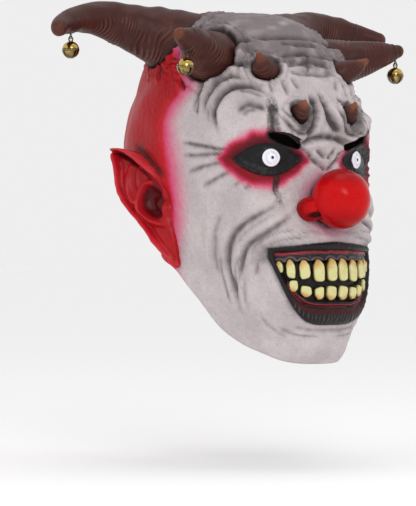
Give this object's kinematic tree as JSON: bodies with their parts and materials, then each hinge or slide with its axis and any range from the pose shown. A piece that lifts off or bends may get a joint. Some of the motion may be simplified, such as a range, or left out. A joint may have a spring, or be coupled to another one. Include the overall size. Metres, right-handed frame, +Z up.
{
  "type": "clown mask",
  "caption": "Hollow latex clown mask worn over the whole head, with horns that carry jingle bells, brow spikes, a ball nose, pointed ears and a toothy grin.",
  "frame": {"origin": "inside the crown, where the mask sits on top of the wearer's head", "axes": "+Z up, -Y the way the wearer faces, +X to the wearer's left"},
  "size_m": [0.3552, 0.2665, 0.2994],
  "materials": {
    "face_latex": "cast latex, airbrushed grey-white with red, black and grey",
    "ear_latex": "cast latex painted red",
    "nose_latex": "cast latex with a gloss red coat",
    "horn_latex": "cast latex painted brown with lighter tips",
    "tooth_latex": "cast latex painted yellow with brown roots",
    "bell_brass": "pressed brass, polished",
    "tie_thread": "black waxed thread"
  },
  "bodies": {
    "root": {"face_shell": "face_latex", "nose": "nose_latex", "upper_teeth": "tooth_latex", "lower_teeth": "tooth_latex", "ear_right": "ear_latex", "ear_left": "ear_latex", "crown_spike_right": "horn_latex", "crown_spike_left": "horn_latex", "brow_spike_right": "horn_latex", "brow_spike_left": "horn_latex", "back_horn_right": "horn_latex", "back_horn_left": "horn_latex", "front_horn_right": "horn_latex", "front_horn_left": "horn_latex", "tie_back_right": "tie_thread", "tie_back_left": "tie_thread", "tie_front_right": "tie_thread", "tie_front_left": "tie_thread", "bell_back_right": "bell_brass", "bell_back_left": "bell_brass", "bell_front_right": "bell_brass", "bell_front_left": "bell_brass"}
  },
  "joints": []
}
